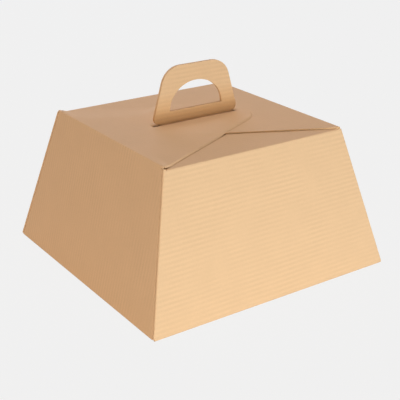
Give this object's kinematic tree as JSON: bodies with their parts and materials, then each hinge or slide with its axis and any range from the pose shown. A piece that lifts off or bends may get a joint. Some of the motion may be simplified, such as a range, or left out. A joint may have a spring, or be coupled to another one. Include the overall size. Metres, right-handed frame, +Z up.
{
  "type": "cake carrier box",
  "caption": "Folded board box for a cake: square base, walls that lean in, corner webs, interlocking top flaps and an upright carry handle with a finger hole.",
  "frame": {"origin": "middle of the square base, on the ground", "axes": "+Z up; -Y towards the front wall; the handle stands in the XZ plane; the outer flap hangs on the wall at -X"},
  "size_m": [0.3002, 0.3, 0.2189],
  "materials": {
    "kraft_board": "matte ribbed kraft liner"
  },
  "bodies": {
    "carton": {"carton": "kraft_board"},
    "outer_flap": {"outer_flap": "kraft_board"}
  },
  "joints": [
    {"name": "outer_flap_hinge", "type": "hinge", "parent": "carton", "child": "outer_flap", "pos_m": [-0.11112, 0, 0.15708], "axis": [0, -1, 0], "range_deg": [0, 150]}
  ]
}
